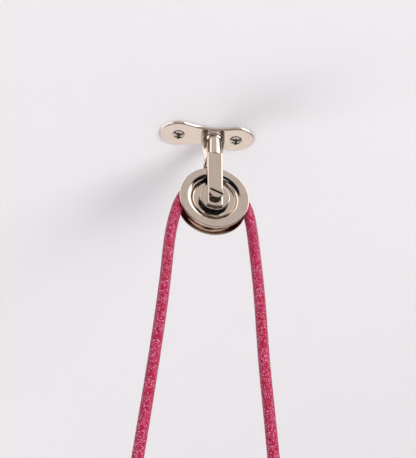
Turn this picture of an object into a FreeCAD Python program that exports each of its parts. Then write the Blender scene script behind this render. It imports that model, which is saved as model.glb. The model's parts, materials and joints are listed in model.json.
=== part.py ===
"""Ceiling pulley: a lobed ceiling plate carries a swivelling yoke with one grooved wheel, and a round
fabric cord runs over the wheel and hangs down on both sides to an eye at each end.

Frame: the origin is midway between the two fixing screws, on the face that meets the ceiling.
+X runs along the plate, +Z up into the ceiling, and -Y is the front, with the axle bolt's head.
All sizes are in millimetres.
"""
import FreeCAD, Part
import Sketcher
import math
import os
import re

SIZES = {
    # ceiling plate
    "screw_spacing": 37.6,
    "lobe_radius": 11.8,
    "waist_half": 8.5,
    "plate_thickness": 2.0,
    "plate_edge": 0.5,
    "swivel_offset": 3.75,
    # fixing screws
    "screw_radius": 2.0,
    "screw_neck_extra": 0.2,
    "screw_hole_clearance": 0.15,
    "screw_head_radius": 4.0,
    "screw_head_rim": 0.5,
    "screw_head_dome": 1.9,
    "screw_reach": 24.0,
    "screw_point": 4.0,
    "recess_length": 4.8,
    "recess_width": 1.1,
    "recess_depth": 1.3,
    # swivel stud and what is on it
    "stud_radius": 2.5,
    "stud_head_radius": 4.5,
    "stud_head_height": 1.1,
    "stud_head_sink": 0.1,
    "stud_end": 0.8,
    "running_gap": 0.05,
    "collar_radius": 7.85,
    "collar_height": 2.0,
    "swivel_washer_radius": 6.6,
    "swivel_washer_height": 0.55,
    "stud_washer_radius": 4.4,
    "stud_washer_height": 0.5,
    "nut_flats": 8.0,
    "nut_height": 3.0,
    # yoke
    "hub_top_radius": 7.8,
    "hub_bottom_radius": 5.2,
    "hub_height": 15.2,
    "hub_bulge": 110.0,
    "boss_cover": 0.5,
    "boss_drop": 1.2,
    "boss_crown": 3.0,
    "arm_width": 9.8,
    "arm_thickness": 2.1,
    "arm_root": 0.7,
    "arm_tail": 8.4,
    "arm_clip": 1.5,
    "axle_drop": 51.0,
    # axle
    "axle_radius": 2.5,
    "axle_head_radius": 4.4,
    "axle_head_height": 3.4,
    "slot_width": 1.5,
    "slot_depth": 2.0,
    "slot_angle": 22.6,
    "axle_end": 1.0,
    "thrust_radius": 4.6,
    "thrust_height": 0.2,
    # wheel
    "wheel_radius": 22.0,
    "groove_clearance": 0.45,
    "sheet_thickness": 1.2,
    "rim_land": 4.2,
    "web_thickness": 2.7,
    "wheel_hub_radius": 6.4,
    "wheel_hub_flange": 9.7,
    "wheel_hub_rise": 3.3,
    "bush_wall": 1.45,
    # cord and its end fittings
    "cord_radius": 3.5,
    "cord_gap": 0.3,
    "ferrule_wall": 1.4,
    "ferrule_grip": 9.0,
    "ferrule_base": 4.5,
    "ferrule_taper": 1.0,
    "eye_stem_radius": 1.5,
    "eye_bore_radius": 4.5,
    "eye_wall": 3.0,
    "eye_thickness": 3.4,
}

# The cord's route on each side, from the wheel down: how far each point lies outside the line where
# the cord would hang straight off the wheel, and how far below the axle.
LEFT_ROUTE = [
    (2.1, -1.7),
    (5.85, 8.6),
    (9.45, 27.8),
    (11.45, 57.7),
    (14.75, 91.3),
    (20.95, 143.3),
    (26.85, 189.3),
]
RIGHT_ROUTE = [
    (2.65, -0.2),
    (5.7, 8.7),
    (7.85, 28.5),
    (10.75, 66.3),
    (11.95, 104.3),
    (14.85, 145.3),
    (17.45, 185.3),
]

# How much of the shorter of its two runs an arc of the cord takes up.
ARC_SHARE = 0.45

doc = FreeCAD.newDocument("ceiling_pulley")
sheet = doc.addObject("Spreadsheet::Sheet", "sizes")
for row, (alias, size) in enumerate(SIZES.items(), start=1):
    sheet.set(f"A{row}", alias.replace("_", " "))
    sheet.set(f"B{row}", str(size))
    sheet.setAlias(f"B{row}", alias)
doc.recompute()

# Sizes that follow from the driving ones, as formulas of the sheet's names.
HUB_TOP = "(-plate_thickness - collar_height - swivel_washer_height - running_gap)"
HUB_BOTTOM = f"({HUB_TOP} - hub_height)"
GROOVE_RADIUS = "(cord_radius + groove_clearance)"
RIM_HALF = f"({GROOVE_RADIUS} + sheet_thickness)"
GROOVE_CENTRE = "(wheel_radius - rim_land)"
WHEEL_HUB_HALF = "(web_thickness + wheel_hub_rise)"
THRUST_INNER = f"({WHEEL_HUB_HALF} + running_gap)"
ARM_INNER = f"({THRUST_INNER} + thrust_height + running_gap)"
ARM_OUTER = f"({ARM_INNER} + arm_thickness)"
BOSS_OFFSET = f"({ARM_OUTER} + boss_cover - arm_width / 2)"
CORD_CENTRE = f"({GROOVE_CENTRE} - groove_clearance + cord_gap)"
EYE_OUTER = "(eye_bore_radius + eye_wall)"
EYE_DROP = f"(ferrule_base + {EYE_OUTER} + running_gap)"


def linked(formula):
    """The formula with each sheet name written the way the document reads it."""
    return re.sub(r"\b([a-z]+(?:_[a-z]+)+)\b", r"sizes.\1", formula)


def value(formula):
    """The formula's present value, for the places where a number has to be given first."""
    found = sheet.evalExpression(linked(str(formula)))
    return float(getattr(found, "Value", found))


def bind(item, **formulas):
    """Tie properties to formulas. A double underscore stands for a dot in the property's name."""
    for name, formula in formulas.items():
        item.setExpression(name.replace("__", "."), linked(str(formula)))


def new_body(label):
    body = doc.addObject("PartDesign::Body", label)
    body.Label = label
    return body


def new_sketch(body, plane, offset="0"):
    """An empty sketch on one of the body's own origin planes, moved along its normal by offset."""
    sketch = body.newObject("Sketcher::SketchObject", f"{body.Name}_sketch")
    origin_plane = next(f for f in body.Origin.OriginFeatures if f.Role == plane)
    sketch.AttachmentSupport = [(origin_plane, "")]
    sketch.MapMode = "FlatFace"
    bind(sketch, AttachmentOffset__Base__z=offset)
    return sketch


def pin_point(sketch, geometry, point, across, up):
    """Hold a sketch point at two formulas measured from the sketch's origin."""
    for kind, formula in (("DistanceX", across), ("DistanceY", up)):
        index = sketch.addConstraint(Sketcher.Constraint(kind, -1, 1, geometry, point, value(formula)))
        sketch.setExpression(f"Constraints[{index}]", linked(str(formula)))


def draw_circle(sketch, across, up, radius):
    centre = FreeCAD.Vector(value(across), value(up), 0)
    circle = Part.Circle(centre, FreeCAD.Vector(0, 0, 1), value(radius))
    geometry = sketch.addGeometry(circle, False)
    pin_point(sketch, geometry, 3, across, up)
    index = sketch.addConstraint(Sketcher.Constraint("Radius", geometry, value(radius)))
    sketch.setExpression(f"Constraints[{index}]", linked(str(radius)))


def arc_between(start, end, radius):
    """The shorter arc from start to end that turns left, as a sketch curve, with its radius."""
    middle, half = (start + end) / 2, (end - start) / 2
    left = FreeCAD.Vector(-half.y, half.x, 0).normalize()
    centre = middle + left * math.sqrt(max(radius**2 - half.Length**2, 0))
    first, last = ((p - centre) for p in (start, end))
    angles = [math.atan2(v.y, v.x) for v in (first, last)]
    return Part.ArcOfCircle(Part.Circle(centre, FreeCAD.Vector(0, 0, 1), radius), *angles)


def draw_outline(sketch, corners):
    """A closed outline through corners (across, up), each a formula. A corner with a third entry
    starts an arc of that radius, and a fourth says which way it turns, left or right."""
    points = [FreeCAD.Vector(value(c[0]), value(c[1]), 0) for c in corners]
    starts, ends = [], []
    for i, corner in enumerate(corners):
        start, end = points[i], points[(i + 1) % len(points)]
        if len(corner) == 2:
            geometry = sketch.addGeometry(Part.LineSegment(start, end), False)
            starts.append((geometry, 1))
            ends.append((geometry, 2))
            continue
        turns_left = corner[3] == "left"
        a, b = (start, end) if turns_left else (end, start)
        geometry = sketch.addGeometry(arc_between(a, b, value(corner[2])), False)
        starts.append((geometry, 1 if turns_left else 2))
        ends.append((geometry, 2 if turns_left else 1))
    for i, corner in enumerate(corners):
        sketch.addConstraint(Sketcher.Constraint("Coincident", *ends[i - 1], *starts[i]))
        pin_point(sketch, *starts[i], corner[0], corner[1])
        if len(corner) > 2:
            index = sketch.addConstraint(Sketcher.Constraint("Radius", starts[i][0], value(corner[2])))
            sketch.setExpression(f"Constraints[{index}]", linked(str(corner[2])))


def turn(body, corners, offset="0"):
    """Turn an outline of (radius, height) about the upright axis that lies offset to the front."""
    sketch = new_sketch(body, "XZ_Plane", offset)
    draw_outline(sketch, corners)
    feature = body.newObject("PartDesign::Revolution", f"{body.Name}_turn")
    feature.Profile = sketch
    feature.ReferenceAxis = (sketch, ["V_Axis"])
    feature.Angle = 360
    doc.recompute()


def straight_feature(kind, body, plane, corners, start, length, circles):
    """A Pad or Pocket of an outline and circles, on the plane moved to start along its normal."""
    sketch = new_sketch(body, plane, start)
    if corners:
        draw_outline(sketch, corners)
    for circle in circles:
        draw_circle(sketch, *circle)
    feature = body.newObject(f"PartDesign::{kind}", f"{body.Name}_{kind.lower()}")
    feature.Profile = sketch
    bind(feature, Length=length)
    doc.recompute()
    return feature


def pad(body, plane, corners, start, length, circles=()):
    """Raise an outline, less its circles, from start along the plane's normal. The front is the
    normal of XZ_Plane, and up is that of XY_Plane."""
    return straight_feature("Pad", body, plane, corners, start, length, circles)


def pocket(body, plane, corners, start, length, circles=()):
    """Sink an outline and circles from start against the plane's normal, and check that it cuts."""
    before = body.Shape.Volume
    straight_feature("Pocket", body, plane, corners, start, length, circles)
    if body.Shape.Volume >= before:
        raise RuntimeError(f"{body.Label}: a pocket cuts nothing")


def turned(label, corners):
    body = new_body(label)
    turn(body, corners)
    return body


def ring(label, inner, outer, low, high):
    """A flat ring between two radii and two heights."""
    return turned(label, [(inner, low), (outer, low), (outer, high), (inner, high)])


def hexagon(flats):
    """Corners of a hexagon, two of whose flats are square to the sketch's first direction."""
    corners = []
    for i in range(6):
        angle = f"{60 * i + 30} * 1 deg"
        corners.append((f"{flats} / sqrt(3) * cos({angle})", f"{flats} / sqrt(3) * sin({angle})"))
    return corners


def on_swivel(body):
    """Place a body on the swivel's upright axis."""
    bind(body, Placement__Base__x="swivel_offset")
    return body


def on_axle(body):
    """Place a body on the axle, with its own up turned to the front."""
    body.Placement = FreeCAD.Placement(
        FreeCAD.Vector(), FreeCAD.Rotation(FreeCAD.Vector(1, 0, 0), 90)
    )
    bind(body, Placement__Base__x="swivel_offset", Placement__Base__z="-axle_drop")
    return body


# ---- ceiling plate, screws and swivel stud: the fixed part ----


def make_ceiling_plate():
    """Two round lobes on the screws, joined by a waist of two hollow arcs that run into them."""
    half = "(screw_spacing / 2)"
    waist_radius = f"(({half}^2 + waist_half^2 - lobe_radius^2) / (2 * (lobe_radius - waist_half)))"
    share = f"({waist_radius} / ({waist_radius} + lobe_radius))"
    join_x = f"({half} * {share})"
    join_y = f"((waist_half + {waist_radius}) * (1 - {share}))"
    end_x = f"({half} + lobe_radius)"
    # Each lobe is two arcs, because one arc of more than half a turn has two answers.
    corners = [
        (join_x, f"-{join_y}", "lobe_radius", "left"),
        (end_x, "0", "lobe_radius", "left"),
        (join_x, join_y, waist_radius, "right"),
        (f"-{join_x}", join_y, "lobe_radius", "left"),
        (f"-{end_x}", "0", "lobe_radius", "left"),
        (f"-{join_x}", f"-{join_y}", waist_radius, "right"),
    ]
    screw_hole = "screw_radius + screw_neck_extra + screw_hole_clearance"
    holes = [(half, "0", screw_hole), (f"-{half}", "0", screw_hole)]
    stud_hole = [("swivel_offset", "0", "stud_radius + running_gap")]
    head_seat = [("swivel_offset", "0", "stud_head_radius + running_gap")]
    body = new_body("ceiling_plate")
    slab = pad(body, "XY_Plane", corners, "-plate_thickness", "plate_thickness")
    middle = value("-plate_thickness / 2")
    lower_edges = [
        f"Edge{i}" for i, edge in enumerate(body.Shape.Edges, start=1) if edge.BoundBox.ZMax < middle
    ]
    chamfer = body.newObject("PartDesign::Chamfer", "ceiling_plate_edge")
    chamfer.Base = (slab, lower_edges)
    bind(chamfer, Size="plate_edge")
    doc.recompute()
    pocket(body, "XY_Plane", None, "0", "plate_thickness", holes + stud_hole)
    pocket(body, "XY_Plane", None, "0", "stud_head_sink + stud_head_height", head_seat)
    return body


def make_ceiling_screws():
    """Two domed cross-head screws, the second the mirror image of the first."""
    neck = "(screw_radius + screw_neck_extra)"
    head_low = "(-plate_thickness - screw_head_rim)"
    crown = f"({head_low} - screw_head_dome)"
    dome = "(screw_head_radius^2 + screw_head_dome^2) / (2 * screw_head_dome)"
    thread_start = "(2 * screw_neck_extra)"
    body = new_body("ceiling_screw")
    turn(
        body,
        [
            ("0", crown, dome, "left"),
            ("screw_head_radius", head_low),
            ("screw_head_radius", "-plate_thickness"),
            (neck, "-plate_thickness"),
            (neck, thread_start),
            ("screw_radius", thread_start),
            ("screw_radius", "screw_reach - screw_point"),
            ("0", "screw_reach"),
        ],
    )
    for long_way, short_way in (("length", "width"), ("width", "length")):
        x, y = f"recess_{long_way} / 2", f"recess_{short_way} / 2"
        slot = [(f"-{x}", f"-{y}"), (x, f"-{y}"), (x, y), (f"-{x}", y)]
        pocket(body, "XY_Plane", slot, f"{crown} + recess_depth", "2 * recess_depth")
    bind(body, Placement__Base__x="screw_spacing / 2")
    doc.recompute()
    other = doc.addObject("Part::Mirroring", "other_screw")
    other.Source = body
    other.Normal = FreeCAD.Vector(1, 0, 0)
    pair = doc.addObject("Part::Compound", "ceiling_screws")
    pair.Links = [body, other]
    pair.Label = "ceiling_screws"
    return pair


def make_swivel():
    """The riveted stud, its collar under the plate, and the washers and nut that carry the yoke."""
    bore = "(stud_radius + running_gap)"
    head_top = "(-stud_head_sink)"
    head_low = f"({head_top} - stud_head_height)"
    washer_top = f"({HUB_BOTTOM} - running_gap)"
    nut_top = f"({washer_top} - stud_washer_height)"
    nut_low = f"({nut_top} - nut_height)"
    collar_low = "(-plate_thickness - collar_height)"
    stud = turned(
        "swivel_stud",
        [
            ("0", f"{nut_low} - stud_end"),
            ("stud_radius", f"{nut_low} - stud_end"),
            ("stud_radius", head_low),
            ("stud_head_radius", head_low),
            ("stud_head_radius", head_top),
            ("0", head_top),
        ],
    )
    collar = ring("swivel_collar", bore, "collar_radius", collar_low, "-plate_thickness")
    upper = ring(
        "swivel_washer", bore, "swivel_washer_radius", f"{collar_low} - swivel_washer_height", collar_low
    )
    lower = ring("stud_washer", bore, "stud_washer_radius", nut_top, washer_top)
    nut = new_body("stud_nut")
    pad(nut, "XY_Plane", hexagon("nut_flats"), nut_low, "nut_height", [("0", "0", bore)])
    return [on_swivel(body) for body in (stud, collar, upper, lower, nut)]


# ---- yoke and axle: the part that swivels ----


def make_yoke():
    """A bell-shaped hub with a round boss at the front and back, and under each boss a flat arm that
    ends in clipped corners below the axle."""
    body = new_body("yoke")
    turn(
        body,
        [
            ("0", HUB_BOTTOM),
            ("hub_bottom_radius", HUB_BOTTOM, "hub_bulge", "left"),
            ("hub_top_radius", HUB_TOP),
            ("0", HUB_TOP),
        ],
    )
    half = "(arm_width / 2)"
    boss_top = f"({HUB_TOP} - boss_drop)"
    boss = [
        ("0", HUB_BOTTOM),
        (half, HUB_BOTTOM),
        (half, f"{boss_top} - boss_crown", "boss_crown", "left"),
        (f"{half} - boss_crown", boss_top),
        ("0", boss_top),
    ]
    for offset in (BOSS_OFFSET, f"-{BOSS_OFFSET}"):
        turn(body, boss, offset)
    tail_end = "(-axle_drop - arm_tail)"
    outline = [
        (f"-{half}", f"{HUB_BOTTOM} + arm_root"),
        (f"-{half}", f"{tail_end} + arm_clip"),
        (f"-{half} + arm_clip", tail_end),
        (f"{half} - arm_clip", tail_end),
        (half, f"{tail_end} + arm_clip"),
        (half, f"{HUB_BOTTOM} + arm_root"),
    ]
    for start in (ARM_INNER, f"-{ARM_OUTER}"):
        pad(body, "XZ_Plane", outline, start, "arm_thickness")
    pocket(body, "XY_Plane", None, HUB_TOP, "hub_height", [("0", "0", "stud_radius + running_gap")])
    axle_hole = [("0", "-axle_drop", "axle_radius + running_gap")]
    pocket(body, "XZ_Plane", None, ARM_OUTER, f"2 * {ARM_OUTER}", axle_hole)
    return on_swivel(body)


def make_axle():
    """The bolt, whose round head has an oblique slot, its nut at the back, and a thrust washer on
    each side of the wheel."""
    bore = "(axle_radius + running_gap)"
    head_front = f"({ARM_OUTER} + axle_head_height)"
    shank_end = f"(-{ARM_OUTER} - nut_height - axle_end)"
    bolt = turned(
        "axle_bolt",
        [
            ("0", shank_end),
            ("axle_radius", shank_end),
            ("axle_radius", ARM_OUTER),
            ("axle_head_radius", ARM_OUTER),
            ("axle_head_radius", head_front),
            ("0", head_front),
        ],
    )
    along, across = "(axle_head_radius + slot_width)", "(slot_width / 2)"
    slot = [
        (
            f"{x} * {along} * cos(slot_angle * 1 deg) + {y} * {across} * sin(slot_angle * 1 deg)",
            f"-{x} * {along} * sin(slot_angle * 1 deg) + {y} * {across} * cos(slot_angle * 1 deg)",
        )
        for x, y in ((1, 1), (-1, 1), (-1, -1), (1, -1))
    ]
    pocket(bolt, "XY_Plane", slot, head_front, "slot_depth")
    nut = new_body("axle_nut")
    pad(nut, "XY_Plane", hexagon("nut_flats"), f"-{ARM_OUTER} - nut_height", "nut_height", [("0", "0", bore)])
    outer = f"({THRUST_INNER} + thrust_height)"
    front = ring("front_thrust_washer", bore, "thrust_radius", THRUST_INNER, outer)
    rear = ring("rear_thrust_washer", bore, "thrust_radius", f"-{outer}", f"-{THRUST_INNER}")
    return [on_axle(body) for body in (bolt, nut, front, rear)]


# ---- wheel: the part that spins ----


def make_wheel():
    """Two pressed discs back to back form the groove, held by a flanged hub and a pressed-on ring
    that run on a bush."""
    web_start = f"({GROOVE_CENTRE} - sqrt({RIM_HALF}^2 - web_thickness^2))"

    def disc(label, side):
        shoulder_turn, groove_turn = ("right", "left") if side > 0 else ("left", "right")
        outline = [
            ("wheel_hub_radius", f"{side} * web_thickness"),
            (web_start, f"{side} * web_thickness", RIM_HALF, shoulder_turn),
            (GROOVE_CENTRE, f"{side} * {RIM_HALF}"),
            ("wheel_radius", f"{side} * {RIM_HALF}"),
            ("wheel_radius", f"{side} * {GROOVE_RADIUS}"),
            (GROOVE_CENTRE, f"{side} * {GROOVE_RADIUS}", GROOVE_RADIUS, groove_turn),
            (f"{GROOVE_CENTRE} - {GROOVE_RADIUS}", "0"),
            ("wheel_hub_radius", "0"),
        ]
        return turned(label, outline)

    bush_outer = "(axle_radius + running_gap + bush_wall)"
    hub = turned(
        "sheave_hub",
        [
            (bush_outer, f"-{WHEEL_HUB_HALF}"),
            ("wheel_hub_radius", f"-{WHEEL_HUB_HALF}"),
            ("wheel_hub_radius", "web_thickness"),
            ("wheel_hub_flange", "web_thickness"),
            ("wheel_hub_flange", WHEEL_HUB_HALF),
            (bush_outer, WHEEL_HUB_HALF),
        ],
    )
    pressed = ring(
        "sheave_hub_ring", "wheel_hub_radius", "wheel_hub_flange", f"-{WHEEL_HUB_HALF}", "-web_thickness"
    )
    bore = "(axle_radius + running_gap)"
    bush = ring("sheave_bush", bore, bush_outer, f"-{WHEEL_HUB_HALF}", WHEEL_HUB_HALF)
    bodies = disc("sheave_front_disc", 1), disc("sheave_rear_disc", -1), hub, pressed, bush
    return [on_axle(body) for body in bodies]


# ---- cord and what is on its ends ----


def route_points(route, side):
    """The route's points on one side of the wheel, side being -1 for left and 1 for right."""
    centre_x, centre_z = value("swivel_offset"), -value("axle_drop")
    reach = value(CORD_CENTRE)
    return [
        FreeCAD.Vector(centre_x + side * (reach + out), 0, centre_z - drop) for out, drop in route
    ]


def leaving_point(point, side):
    """Where a straight run from the wheel to point touches the circle of the cord's middle line."""
    centre = FreeCAD.Vector(value("swivel_offset"), 0, -value("axle_drop"))
    radius = value(CORD_CENTRE)
    away = point - centre
    tilt = math.atan2(away.z, away.x) + side * math.acos(radius / away.Length)
    return centre + FreeCAD.Vector(math.cos(tilt), 0, math.sin(tilt)) * radius


def rounded_edges(points, name):
    """Straight runs through points joined by tangent arcs, each as large as its runs allow."""
    edges, here = [], points[0]
    for before, corner, after in zip(points, points[1:], points[2:]):
        come, go = (corner - before), (after - corner)
        half_turn = come.getAngle(go) / 2
        trim = ARC_SHARE * min(come.Length, go.Length)
        radius = trim / math.tan(half_turn)
        print(f"{name}: turn {math.degrees(2 * half_turn):.1f} deg, radius {radius:.1f} mm")
        come.normalize()
        go.normalize()
        start, end = corner - come * trim, corner + go * trim
        inward = (go - come).normalize()
        middle = corner + inward * (math.hypot(radius, trim) - radius)
        edges += [Part.LineSegment(here, start).toShape(), Part.Arc(start, middle, end).toShape()]
        here = end
    edges.append(Part.LineSegment(here, points[-1]).toShape())
    return edges


def make_cord():
    """A round tube that comes up on the left, lies in the groove over the wheel and goes down on
    the right."""
    left, right = route_points(LEFT_ROUTE, -1), route_points(RIGHT_ROUTE, 1)
    up, down = leaving_point(left[0], -1), leaving_point(right[0], 1)
    top = FreeCAD.Vector(value("swivel_offset"), 0, value(f"{CORD_CENTRE} - axle_drop"))
    edges = rounded_edges(left[::-1] + [up], "left run")
    edges.append(Part.Arc(up, top, down).toShape())
    edges += rounded_edges([down] + right, "right run")
    path = Part.Wire(edges)
    radius = value("cord_radius")
    section = Part.Wire([Part.Circle(left[-1], left[-2] - left[-1], radius).toShape()])
    cord = doc.addObject("Part::Feature", "cord")
    cord.Shape = path.makePipeShell([section], True, False)
    expected = math.pi * radius**2 * path.Length
    print(f"cord: length {path.Length:.1f} mm, volume {cord.Shape.Volume / expected:.5f} of expected")
    return cord, (left, right)


def make_cord_end(name, points):
    """A ferrule gripping the last of the cord, and a flat eye whose stem is screwed into it."""
    ferrule = turned(
        f"{name}_cord_ferrule",
        [
            ("cord_radius", "0"),
            ("cord_radius", "ferrule_grip"),
            ("cord_radius + ferrule_wall - 0.5 * ferrule_taper", "ferrule_grip"),
            ("cord_radius + ferrule_wall", "ferrule_grip - ferrule_taper"),
            ("cord_radius + ferrule_wall", "-ferrule_base + ferrule_taper"),
            ("cord_radius + ferrule_wall - ferrule_taper", "-ferrule_base"),
            ("eye_stem_radius + running_gap", "-ferrule_base"),
            ("eye_stem_radius + running_gap", "0"),
        ],
    )
    eye = new_body(f"{name}_cord_eye")
    outer = [("0", f"-{EYE_DROP}", EYE_OUTER)]
    pad(eye, "XZ_Plane", None, "-eye_thickness / 2", "eye_thickness", outer)
    stem_low = f"(-{EYE_DROP} + {EYE_OUTER} - eye_wall / 2)"
    stem_length = f"-{stem_low} - running_gap"
    pad(eye, "XY_Plane", None, stem_low, stem_length, [("0", "0", "eye_stem_radius")])
    bore = [("0", f"-{EYE_DROP}", "eye_bore_radius")]
    pocket(eye, "XZ_Plane", None, "eye_thickness", "2 * eye_thickness", bore)
    along = points[-1] - points[-2]
    turn_to_cord = FreeCAD.Rotation(FreeCAD.Vector(0, 0, -1), along)
    for body in (ferrule, eye):
        body.Placement = FreeCAD.Placement(points[-1], turn_to_cord)
    return [ferrule, eye]


nodes = [make_ceiling_plate(), make_ceiling_screws(), *make_swivel()]
nodes += [make_yoke(), *make_axle(), *make_wheel()]
cord, (left_points, right_points) = make_cord()
nodes.append(cord)
nodes += make_cord_end("left", left_points) + make_cord_end("right", right_points)
doc.recompute()

for item in doc.Objects:
    if {"Invalid", "Error"} & set(item.State):
        raise RuntimeError(f"{item.Label} failed: {item.State}")
for node in nodes:
    if node.Shape.isNull() or not node.Shape.isValid():
        raise RuntimeError(f"{node.Label} has no valid shape")

os.makedirs("parts", exist_ok=True)
for node in nodes:
    node.Shape.exportStep(f"parts/{node.Label}.step")
    box = node.Shape.BoundBox
    size = f"{box.XLength:.2f} x {box.YLength:.2f} x {box.ZLength:.2f} mm"
    print(f"{node.Label}: solids {len(node.Shape.Solids)}, {node.Shape.Volume:.2f} mm3, {size}")
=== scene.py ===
"""Ceiling pulley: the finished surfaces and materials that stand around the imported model.

A lobed ceiling plate carries a swivelling yoke with one grooved wheel, and a round braided cord runs
over the wheel and hangs down on both sides to an eye at each end. Every piece keeps the model's frame:
the origin is between the two fixing screws on the ceiling's face, +Z is up and -Y is the front.
"""
import json
import math

import bmesh
import bpy
import numpy as np
from bpy.props import FloatProperty, FloatVectorProperty, IntProperty, PointerProperty
from mathutils import Matrix, Vector


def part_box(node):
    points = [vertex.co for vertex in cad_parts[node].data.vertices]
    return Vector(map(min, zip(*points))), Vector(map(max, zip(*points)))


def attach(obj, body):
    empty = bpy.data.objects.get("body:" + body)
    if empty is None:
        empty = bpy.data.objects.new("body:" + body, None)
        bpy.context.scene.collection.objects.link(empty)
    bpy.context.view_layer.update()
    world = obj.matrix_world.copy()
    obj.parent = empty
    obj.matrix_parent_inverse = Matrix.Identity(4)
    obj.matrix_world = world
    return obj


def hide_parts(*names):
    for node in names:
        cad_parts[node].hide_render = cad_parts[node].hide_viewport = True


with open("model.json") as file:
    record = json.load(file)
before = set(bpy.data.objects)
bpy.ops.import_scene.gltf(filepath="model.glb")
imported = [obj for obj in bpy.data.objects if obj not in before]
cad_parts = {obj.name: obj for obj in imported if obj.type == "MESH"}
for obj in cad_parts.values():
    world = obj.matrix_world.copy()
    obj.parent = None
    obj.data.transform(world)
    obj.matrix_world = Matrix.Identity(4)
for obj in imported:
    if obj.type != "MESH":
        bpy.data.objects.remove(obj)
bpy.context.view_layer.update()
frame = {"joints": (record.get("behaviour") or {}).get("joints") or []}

bl_info = {
    "name": "Ceiling Pulley",
    "version": (1, 0, 0),
    "blender": (4, 5, 0),
    "location": "3D View > Sidebar > Pulley",
    "description": "Builds a nickel ceiling pulley with a braided cord around its packed model",
    "category": "Object",
}

MM = 0.001
JOINT_AT = {joint["name"]: np.array(joint["pos_m"]) / MM for joint in frame["joints"]}
SWIVEL_X = JOINT_AT["yoke_swivel"][0]
AXLE = JOINT_AT["sheave_spin"]

# The cord's route as (x, z) in metres on the plane through the wheel's middle: on each side from the
# wheel down, and over the wheel from left to right.
LEFT_ROUTE = [
    (-0.0160, -0.0493),
    (-0.01975, -0.0596),
    (-0.02335, -0.0788),
    (-0.02535, -0.1087),
    (-0.02865, -0.1423),
    (-0.03485, -0.1943),
    (-0.04075, -0.2403),
]
OVER_WHEEL = [
    (-0.00926, -0.03852),
    (-0.00318, -0.03436),
    (0.00403, -0.03297),
    (0.01123, -0.03459),
    (0.01717, -0.03896),
]
RIGHT_ROUTE = [
    (0.02405, -0.0508),
    (0.0271, -0.0597),
    (0.02925, -0.0795),
    (0.03215, -0.1173),
    (0.03335, -0.1553),
    (0.03625, -0.1963),
    (0.03885, -0.2363),
]

# In millimetres: the clearance between faces that turn past each other, half the width of the yoke's
# arms, the M5 shank, the core of its thread and the holes that it passes through, and the wheel's hub
# where the discs sit on it.
GAP = 0.05
ARM_HALF = 4.9
SHANK, THREAD_CORE, BORE = 2.5, 2.12, 2.55
BARREL = 6.4


def node_box(name):
    """Lowest and highest corner of a node of the model, in millimetres."""
    low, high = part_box(name)
    return np.array(low) / MM, np.array(high) / MM


# ---- sizes and colours that a user would change ----


def length(name, description, millimetres):
    return FloatProperty(
        name=name, description=description, default=millimetres * MM, unit="LENGTH", min=0.0, precision=5
    )


def colour(name, description, *rgb):
    return FloatVectorProperty(
        name=name, description=description, subtype="COLOR", size=3, min=0.0, max=1.0, default=rgb
    )


def share(name, description, default):
    return FloatProperty(name=name, description=description, default=default, min=0.0, max=1.0)


class PulleyShape(bpy.types.PropertyGroup):
    """Roundings and small details of the metal pieces."""

    plate_waist: length("Plate waist", "Width of the plate's waist", 17.0)
    plate_edge: length("Plate edge", "Rounding of the plate's lower edge", 0.7)
    fine_edge: length("Fine edge", "Rounding of small turned edges", 0.25)
    arm_edge: length("Arm edge", "Rounding of the arms' outer long edges", 1.15)
    hub_blend: length("Hub blend", "Fillet where a boss meets the yoke's hub", 0.5)
    screw_pitch: length("Screw pitch", "Rise of the wood screws' thread in one turn", 1.8)
    bolt_pitch: length("Bolt pitch", "Rise of the M5 threads in one turn", 0.8)


class PulleyCord(bpy.types.PropertyGroup):
    """Build and colours of the braided cord."""

    diameter: length("Diameter", "Diameter of the cord", 7.0)
    strands: IntProperty(name="Strands", description="Strands that wind each way", default=16, min=4)
    lay_length: length("Lay", "Length in which a strand winds once round the cord", 24.0)
    relief: length("Relief", "How far a crossing stands above a dip", 0.16)
    base: colour("Base", "Fuchsia of the main strands", 0.46, 0.011, 0.095)
    # The dark colour also paints the shade in the braid's gaps.
    dark: colour("Dark", "Crimson of the speckles", 0.30, 0.002, 0.014)
    light: colour("Light", "Pale pink of the glitter threads", 0.80, 0.32, 0.50)


class PulleyFinish(bpy.types.PropertyGroup):
    """Colours and gloss of the metals."""

    nickel: colour("Nickel", "Reflection colour of the nickel plating", 0.66, 0.56, 0.48)
    steel: colour("Steel", "Reflection colour of the plated screws", 0.64, 0.58, 0.52)
    bronze: colour("Bronze", "Reflection colour of the bearing bush", 0.52, 0.33, 0.14)
    polish: share("Polish", "Roughness of the nickel where it is cleanest", 0.07)
    wear: share("Wear", "Extra roughness of the hazy and scratched patches", 0.08)


class PulleyStudio(bpy.types.PropertyGroup):
    """Camera, backdrop and light."""

    lens: FloatProperty(name="Lens", description="Focal length in millimetres", default=94.3, min=1.0)
    azimuth: FloatProperty(
        name="Azimuth", description="Direction of the camera round the pulley", unit="ROTATION",
        default=math.radians(-10.11),
    )
    elevation: FloatProperty(
        name="Elevation", description="Height angle of the camera", unit="ROTATION",
        default=math.radians(-31.87),
    )
    distance: FloatProperty(
        name="Distance", description="Distance of the camera", unit="LENGTH", default=0.77844
    )
    ceiling: colour("Ceiling", "Colour of the ceiling", 0.73, 0.716, 0.728)
    key: FloatProperty(name="Key", description="Power of the key light", unit="POWER", default=34.0)
    fill: FloatProperty(name="Fill", description="Power of the fill light", unit="POWER", default=12.0)


# ---- surfaces ----


def quads(rows, columns, start=0, closed=False):
    """Corner numbers of the quads between neighbours on a grid whose points are numbered row by row.
    Each row closes on itself, and if closed the last row meets the first."""
    i, j = np.meshgrid(np.arange(rows if closed else rows - 1), np.arange(columns), indexing="ij")
    i2, j2 = (i + 1) % rows, (j + 1) % columns
    corners = np.stack([i * columns + j, i * columns + j2, i2 * columns + j2, i2 * columns + j], axis=-1)
    return corners.reshape(-1, 4) + start


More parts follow.
